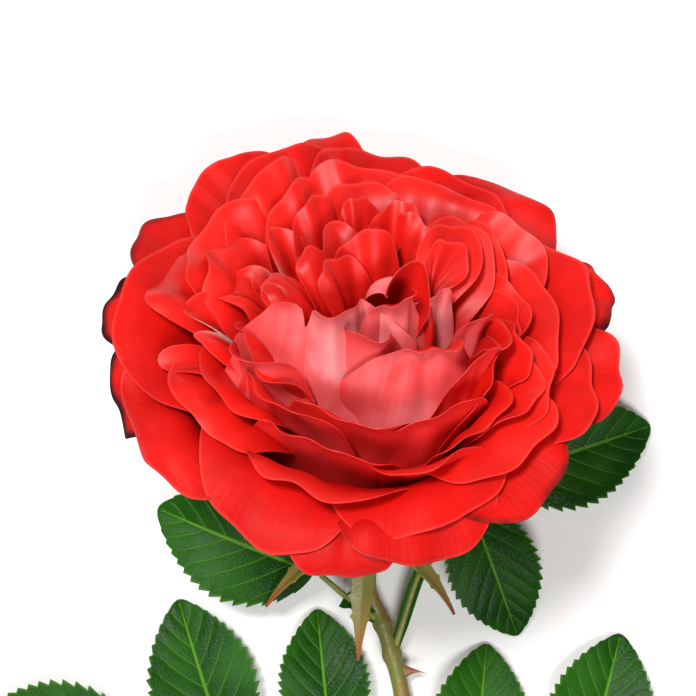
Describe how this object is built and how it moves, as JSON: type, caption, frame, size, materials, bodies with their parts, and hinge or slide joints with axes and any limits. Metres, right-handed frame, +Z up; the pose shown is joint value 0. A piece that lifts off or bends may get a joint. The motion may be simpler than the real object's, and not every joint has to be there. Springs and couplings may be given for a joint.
{
  "type": "cut rose",
  "caption": "Cut garden rose lying on a table: a very full red cupped bloom on a thorny stem with toothed green leaves.",
  "frame": {"origin": "on the table under the middle of the whole rose's box", "axes": "+Y from the cut end of the stem towards the bloom, +X to the right seen from above with the bloom at the top, +Z up from the table"},
  "size_m": [0.2134, 0.2584, 0.0865],
  "materials": {
    "petal": "velvety scarlet petal, paler and pinker on its back",
    "leaf": "glossy dark green leaf with pale veins",
    "stem": "smooth olive bark with red-brown shading and prickles",
    "calyx": "satin olive green, tinged red-brown",
    "stamen": "dusty yellow-brown anthers"
  },
  "bodies": {
    "root": {"hip": "calyx", "left_leaf_leaflet_1": "leaf", "left_leaf_leaflet_2": "leaf", "left_leaf_leaflet_3": "leaf", "left_leaf_leaflet_4": "leaf", "left_leaf_leaflet_5": "leaf", "left_leaf_stalk": "stem", "left_upper_leaf_leaflet_1": "leaf", "left_upper_leaf_stalk": "stem", "petal_1_1": "petal", "petal_1_2": "petal", "petal_1_3": "petal", "petal_1_4": "petal", "petal_1_5": "petal", "petal_2_1": "petal", "petal_2_2": "petal", "petal_2_3": "petal", "petal_2_4": "petal", "petal_2_5": "petal", "petal_3_1": "petal", "petal_3_2": "petal", "petal_3_3": "petal", "petal_3_4": "petal", "petal_3_5": "petal", "petal_3_6": "petal", "petal_4_1": "petal", "petal_4_2": "petal", "petal_4_3": "petal", "petal_4_4": "petal", "petal_4_5": "petal", "petal_4_6": "petal", "petal_5_1": "petal", "petal_5_2": "petal", "petal_5_3": "petal", "petal_5_4": "petal", "petal_5_5": "petal", "petal_6_1": "petal", "petal_6_2": "petal", "petal_6_3": "petal", "petal_6_4": "petal", "petal_7_1": "petal", "petal_7_2": "petal", "petal_7_3": "petal", "right_leaf_leaflet_1": "leaf", "right_leaf_leaflet_2": "leaf", "right_leaf_leaflet_3": "leaf", "right_leaf_leaflet_4": "leaf", "right_leaf_leaflet_5": "leaf", "right_leaf_stalk": "stem", "right_upper_leaf_leaflet_1": "leaf", "right_upper_leaf_leaflet_2": "leaf", "right_upper_leaf_leaflet_3": "leaf", "right_upper_leaf_stalk": "stem", "sepal_1": "calyx", "sepal_2": "calyx", "sepal_3": "calyx", "sepal_4": "calyx", "sepal_5": "calyx", "stamens": "stamen", "stem": "stem"}
  },
  "joints": []
}
